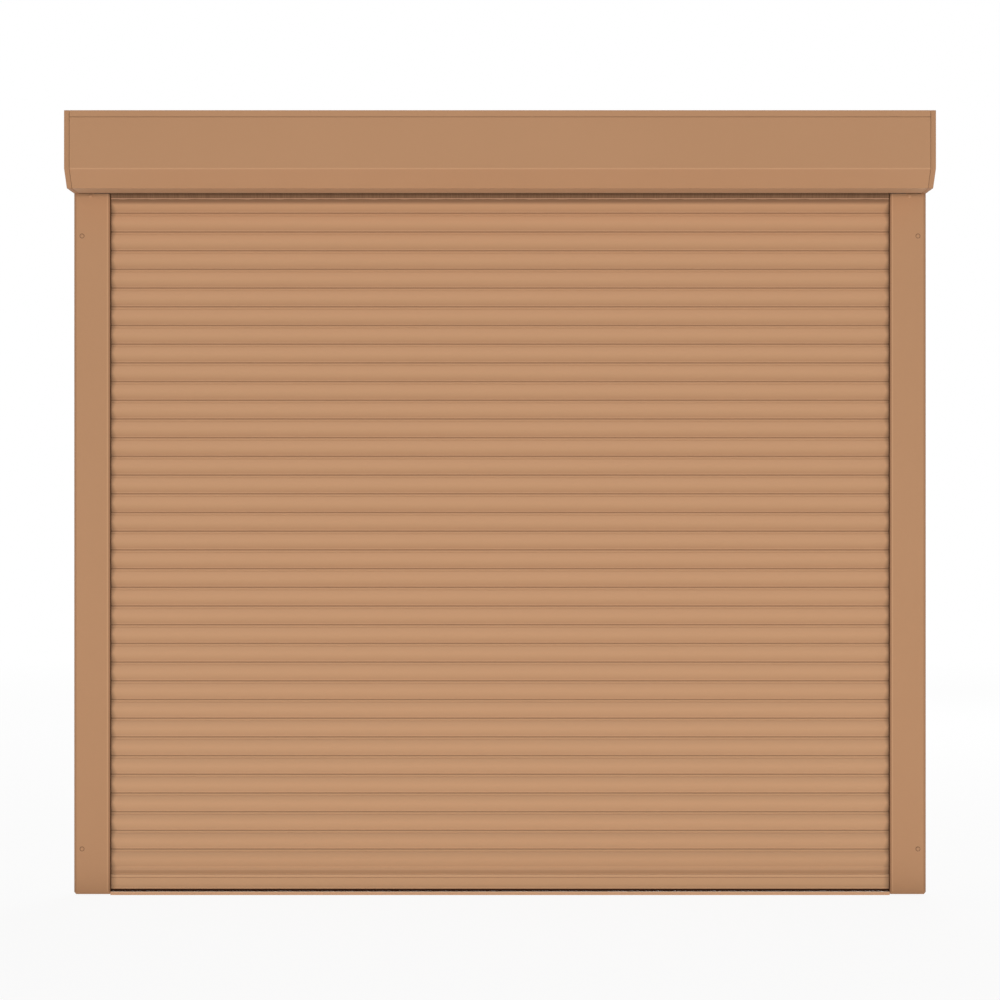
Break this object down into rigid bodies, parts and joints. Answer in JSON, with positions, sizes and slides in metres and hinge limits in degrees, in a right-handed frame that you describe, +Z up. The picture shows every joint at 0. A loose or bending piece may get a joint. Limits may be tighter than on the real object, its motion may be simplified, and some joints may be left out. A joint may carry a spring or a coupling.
{
  "type": "exterior roller shutter",
  "caption": "Exterior roller shutter: a bevelled headbox with a motor-driven shaft, side guide rails and a curtain of hooked hollow slats with a sealed bottom bar.",
  "frame": {"origin": "on the wall plane, at the middle of the four wall screw holes in the guide rails", "axes": "+X along the width, to the right as seen from outside; +Y into the wall; +Z up"},
  "size_m": [2.058, 0.18, 1.875],
  "materials": {
    "slat_paint": "satin",
    "frame_paint": "satin",
    "trim_paint": "satin",
    "black_rubber": "matte",
    "dark_plastic": "matte",
    "pale_plastic": "satin",
    "motor_case": "satin",
    "zinc_steel": "satin",
    "spring_steel": "satin"
  },
  "bodies": {
    "frame": {"top_rear_cover": "frame_paint", "end_cap_left": "frame_paint", "end_cap_right": "frame_paint", "guide_left": "frame_paint", "guide_right": "frame_paint", "guide_seals": "black_rubber", "guide_feet": "trim_paint", "guide_inlets": "dark_plastic", "hole_plugs": "trim_paint", "sill_strip": "frame_paint", "cable_grommet": "black_rubber", "bearing_bush": "pale_plastic", "motor": "motor_case", "motor_bracket": "zinc_steel", "fixing_screws": "zinc_steel"},
    "front_cover": {"inspection_cover": "frame_paint"},
    "shaft": {"shaft_tube": "zinc_steel", "idler_plug": "dark_plastic", "motor_crown": "dark_plastic", "drive_wheel": "dark_plastic", "hanger_straps": "spring_steel"},
    "curtain_foot": {"bottom_bar": "frame_paint", "bottom_seal": "black_rubber"},
    "slat_01": {"slat_01": "slat_paint"},
    "slat_02": {"slat_02": "slat_paint"},
    "slat_03": {"slat_03": "slat_paint"},
    "slat_04": {"slat_04": "slat_paint"},
    "slat_05": {"slat_05": "slat_paint"},
    "slat_06": {"slat_06": "slat_paint"},
    "slat_07": {"slat_07": "slat_paint"},
    "slat_08": {"slat_08": "slat_paint"},
    "slat_09": {"slat_09": "slat_paint"},
    "slat_10": {"slat_10": "slat_paint"},
    "slat_11": {"slat_11": "slat_paint"},
    "slat_12": {"slat_12": "slat_paint"},
    "slat_13": {"slat_13": "slat_paint"},
    "slat_14": {"slat_14": "slat_paint"},
    "slat_15": {"slat_15": "slat_paint"},
    "slat_16": {"slat_16": "slat_paint"},
    "slat_17": {"slat_17": "slat_paint"},
    "slat_18": {"slat_18": "slat_paint"},
    "slat_19": {"slat_19": "slat_paint"},
    "slat_20": {"slat_20": "slat_paint"},
    "slat_21": {"slat_21": "slat_paint"},
    "slat_22": {"slat_22": "slat_paint"},
    "slat_23": {"slat_23": "slat_paint"},
    "slat_24": {"slat_24": "slat_paint"},
    "slat_25": {"slat_25": "slat_paint"},
    "slat_26": {"slat_26": "slat_paint"},
    "slat_27": {"slat_27": "slat_paint"},
    "slat_28": {"slat_28": "slat_paint"},
    "slat_29": {"slat_29": "slat_paint"},
    "slat_30": {"slat_30": "slat_paint"},
    "slat_31": {"slat_31": "slat_paint"},
    "slat_32": {"slat_32": "slat_paint"},
    "slat_33": {"slat_33": "slat_paint"},
    "slat_34": {"slat_34": "slat_paint"},
    "slat_35": {"slat_35": "slat_paint"},
    "slat_36": {"slat_36": "slat_paint"}
  },
  "joints": [
    {"name": "curtain_lift", "type": "slide", "parent": "frame", "child": "curtain_foot", "axis": [0, 0, 1], "range_m": [0, 1.62], "deforming": ["slat_02", "slat_03", "slat_04", "slat_05", "slat_06", "slat_07", "slat_08", "slat_09", "slat_10", "slat_11", "slat_12", "slat_13", "slat_14", "slat_15", "slat_16", "slat_17", "slat_18", "slat_19", "slat_20", "slat_21", "slat_22", "slat_23", "slat_24", "slat_25", "slat_26", "slat_27", "slat_28", "slat_29", "slat_30", "slat_31", "slat_32", "slat_33", "slat_34", "slat_35", "slat_36", "hanger_straps"]},
    {"name": "shaft_turn", "type": "hinge", "parent": "frame", "child": "shaft", "pos_m": [0, -0.09, 0.93275], "axis": [1, 0, 0], "range_deg": [0, 1441]},
    {"name": "cover_swing", "type": "hinge", "parent": "frame", "child": "front_cover", "pos_m": [0, -0.1785, 1.00535], "axis": [-1, 0, 0], "range_deg": [0, 75]},
    {"name": "slat_01_lift", "type": "slide", "parent": "frame", "child": "slat_01", "axis": [0, 0, 1], "range_m": [0, 1.6205]},
    {"name": "slat_02_lift", "type": "slide", "parent": "frame", "child": "slat_02", "axis": [0, 0, 1], "range_m": [0, 1.576]},
    {"name": "slat_03_lift", "type": "slide", "parent": "frame", "child": "slat_03", "axis": [0, 0, 1], "range_m": [0, 1.5315]},
    {"name": "slat_04_lift", "type": "slide", "parent": "frame", "child": "slat_04", "axis": [0, 0, 1], "range_m": [0, 1.487]},
    {"name": "slat_05_lift", "type": "slide", "parent": "frame", "child": "slat_05", "axis": [0, 0, 1], "range_m": [0, 1.4425]},
    {"name": "slat_06_lift", "type": "slide", "parent": "frame", "child": "slat_06", "axis": [0, 0, 1], "range_m": [0, 1.398]},
    {"name": "slat_07_lift", "type": "slide", "parent": "frame", "child": "slat_07", "axis": [0, 0, 1], "range_m": [0, 1.3535]},
    {"name": "slat_08_lift", "type": "slide", "parent": "frame", "child": "slat_08", "axis": [0, 0, 1], "range_m": [0, 1.309]},
    {"name": "slat_09_lift", "type": "slide", "parent": "frame", "child": "slat_09", "axis": [0, 0, 1], "range_m": [0, 1.2645]},
    {"name": "slat_10_lift", "type": "slide", "parent": "frame", "child": "slat_10", "axis": [0, 0, 1], "range_m": [0, 1.22]},
    {"name": "slat_11_lift", "type": "slide", "parent": "frame", "child": "slat_11", "axis": [0, 0, 1], "range_m": [0, 1.1755]},
    {"name": "slat_12_lift", "type": "slide", "parent": "frame", "child": "slat_12", "axis": [0, 0, 1], "range_m": [0, 1.131]},
    {"name": "slat_13_lift", "type": "slide", "parent": "frame", "child": "slat_13", "axis": [0, 0, 1], "range_m": [0, 1.0865]},
    {"name": "slat_14_lift", "type": "slide", "parent": "frame", "child": "slat_14", "axis": [0, 0, 1], "range_m": [0, 1.042]},
    {"name": "slat_15_lift", "type": "slide", "parent": "frame", "child": "slat_15", "axis": [0, 0, 1], "range_m": [0, 0.9975]},
    {"name": "slat_16_lift", "type": "slide", "parent": "frame", "child": "slat_16", "axis": [0, 0, 1], "range_m": [0, 0.953]},
    {"name": "slat_17_lift", "type": "slide", "parent": "frame", "child": "slat_17", "axis": [0, 0, 1], "range_m": [0, 0.9085]},
    {"name": "slat_18_lift", "type": "slide", "parent": "frame", "child": "slat_18", "axis": [0, 0, 1], "range_m": [0, 0.864]},
    {"name": "slat_19_lift", "type": "slide", "parent": "frame", "child": "slat_19", "axis": [0, 0, 1], "range_m": [0, 0.8195]},
    {"name": "slat_20_lift", "type": "slide", "parent": "frame", "child": "slat_20", "axis": [0, 0, 1], "range_m": [0, 0.775]},
    {"name": "slat_21_lift", "type": "slide", "parent": "frame", "child": "slat_21", "axis": [0, 0, 1], "range_m": [0, 0.7305]},
    {"name": "slat_22_lift", "type": "slide", "parent": "frame", "child": "slat_22", "axis": [0, 0, 1], "range_m": [0, 0.686]},
    {"name": "slat_23_lift", "type": "slide", "parent": "frame", "child": "slat_23", "axis": [0, 0, 1], "range_m": [0, 0.6415]},
    {"name": "slat_24_lift", "type": "slide", "parent": "frame", "child": "slat_24", "axis": [0, 0, 1], "range_m": [0, 0.597]},
    {"name": "slat_25_lift", "type": "slide", "parent": "frame", "child": "slat_25", "axis": [0, 0, 1], "range_m": [0, 0.5525]},
    {"name": "slat_26_lift", "type": "slide", "parent": "frame", "child": "slat_26", "axis": [0, 0, 1], "range_m": [0, 0.508]},
    {"name": "slat_27_lift", "type": "slide", "parent": "frame", "child": "slat_27", "axis": [0, 0, 1], "range_m": [0, 0.4635]},
    {"name": "slat_28_lift", "type": "slide", "parent": "frame", "child": "slat_28", "axis": [0, 0, 1], "range_m": [0, 0.419]},
    {"name": "slat_29_lift", "type": "slide", "parent": "frame", "child": "slat_29", "axis": [0, 0, 1], "range_m": [0, 0.3745]},
    {"name": "slat_30_lift", "type": "slide", "parent": "frame", "child": "slat_30", "axis": [0, 0, 1], "range_m": [0, 0.33]},
    {"name": "slat_31_lift", "type": "slide", "parent": "frame", "child": "slat_31", "axis": [0, 0, 1], "range_m": [0, 0.2855]},
    {"name": "slat_32_lift", "type": "slide", "parent": "frame", "child": "slat_32", "axis": [0, 0, 1], "range_m": [0, 0.241]},
    {"name": "slat_33_lift", "type": "slide", "parent": "frame", "child": "slat_33", "axis": [0, 0, 1], "range_m": [0, 0.1965]},
    {"name": "slat_34_lift", "type": "slide", "parent": "frame", "child": "slat_34", "axis": [0, 0, 1], "range_m": [0, 0.152]},
    {"name": "slat_35_lift", "type": "slide", "parent": "frame", "child": "slat_35", "axis": [0, 0, 1], "range_m": [0, 0.1075]},
    {"name": "slat_36_lift", "type": "slide", "parent": "frame", "child": "slat_36", "axis": [0, 0, 1], "range_m": [0, 0.063]}
  ],
  "couplings": [
    {"joint": "shaft_turn", "follows": "curtain_lift", "rad_per_m": 15.514},
    {"joint": "slat_01_lift", "follows": "curtain_lift", "ratio": 1},
    {"joint": "slat_02_lift", "follows": "curtain_lift", "ratio": 0.97253},
    {"joint": "slat_03_lift", "follows": "curtain_lift", "ratio": 0.94506},
    {"joint": "slat_04_lift", "follows": "curtain_lift", "ratio": 0.91759},
    {"joint": "slat_05_lift", "follows": "curtain_lift", "ratio": 0.89012},
    {"joint": "slat_06_lift", "follows": "curtain_lift", "ratio": 0.86265},
    {"joint": "slat_07_lift", "follows": "curtain_lift", "ratio": 0.83518},
    {"joint": "slat_08_lift", "follows": "curtain_lift", "ratio": 0.80772},
    {"joint": "slat_09_lift", "follows": "curtain_lift", "ratio": 0.78025},
    {"joint": "slat_10_lift", "follows": "curtain_lift", "ratio": 0.75278},
    {"joint": "slat_11_lift", "follows": "curtain_lift", "ratio": 0.72531},
    {"joint": "slat_12_lift", "follows": "curtain_lift", "ratio": 0.69784},
    {"joint": "slat_13_lift", "follows": "curtain_lift", "ratio": 0.67037},
    {"joint": "slat_14_lift", "follows": "curtain_lift", "ratio": 0.6429},
    {"joint": "slat_15_lift", "follows": "curtain_lift", "ratio": 0.61543},
    {"joint": "slat_16_lift", "follows": "curtain_lift", "ratio": 0.58796},
    {"joint": "slat_17_lift", "follows": "curtain_lift", "ratio": 0.56049},
    {"joint": "slat_18_lift", "follows": "curtain_lift", "ratio": 0.53302},
    {"joint": "slat_19_lift", "follows": "curtain_lift", "ratio": 0.50556},
    {"joint": "slat_20_lift", "follows": "curtain_lift", "ratio": 0.47809},
    {"joint": "slat_21_lift", "follows": "curtain_lift", "ratio": 0.45062},
    {"joint": "slat_22_lift", "follows": "curtain_lift", "ratio": 0.42315},
    {"joint": "slat_23_lift", "follows": "curtain_lift", "ratio": 0.39568},
    {"joint": "slat_24_lift", "follows": "curtain_lift", "ratio": 0.36821},
    {"joint": "slat_25_lift", "follows": "curtain_lift", "ratio": 0.34074},
    {"joint": "slat_26_lift", "follows": "curtain_lift", "ratio": 0.31327},
    {"joint": "slat_27_lift", "follows": "curtain_lift", "ratio": 0.2858},
    {"joint": "slat_28_lift", "follows": "curtain_lift", "ratio": 0.25833},
    {"joint": "slat_29_lift", "follows": "curtain_lift", "ratio": 0.23086},
    {"joint": "slat_30_lift", "follows": "curtain_lift", "ratio": 0.20339},
    {"joint": "slat_31_lift", "follows": "curtain_lift", "ratio": 0.17593},
    {"joint": "slat_32_lift", "follows": "curtain_lift", "ratio": 0.14846},
    {"joint": "slat_33_lift", "follows": "curtain_lift", "ratio": 0.12099},
    {"joint": "slat_34_lift", "follows": "curtain_lift", "ratio": 0.093519},
    {"joint": "slat_35_lift", "follows": "curtain_lift", "ratio": 0.066049},
    {"joint": "slat_36_lift", "follows": "curtain_lift", "ratio": 0.03858}
  ]
}
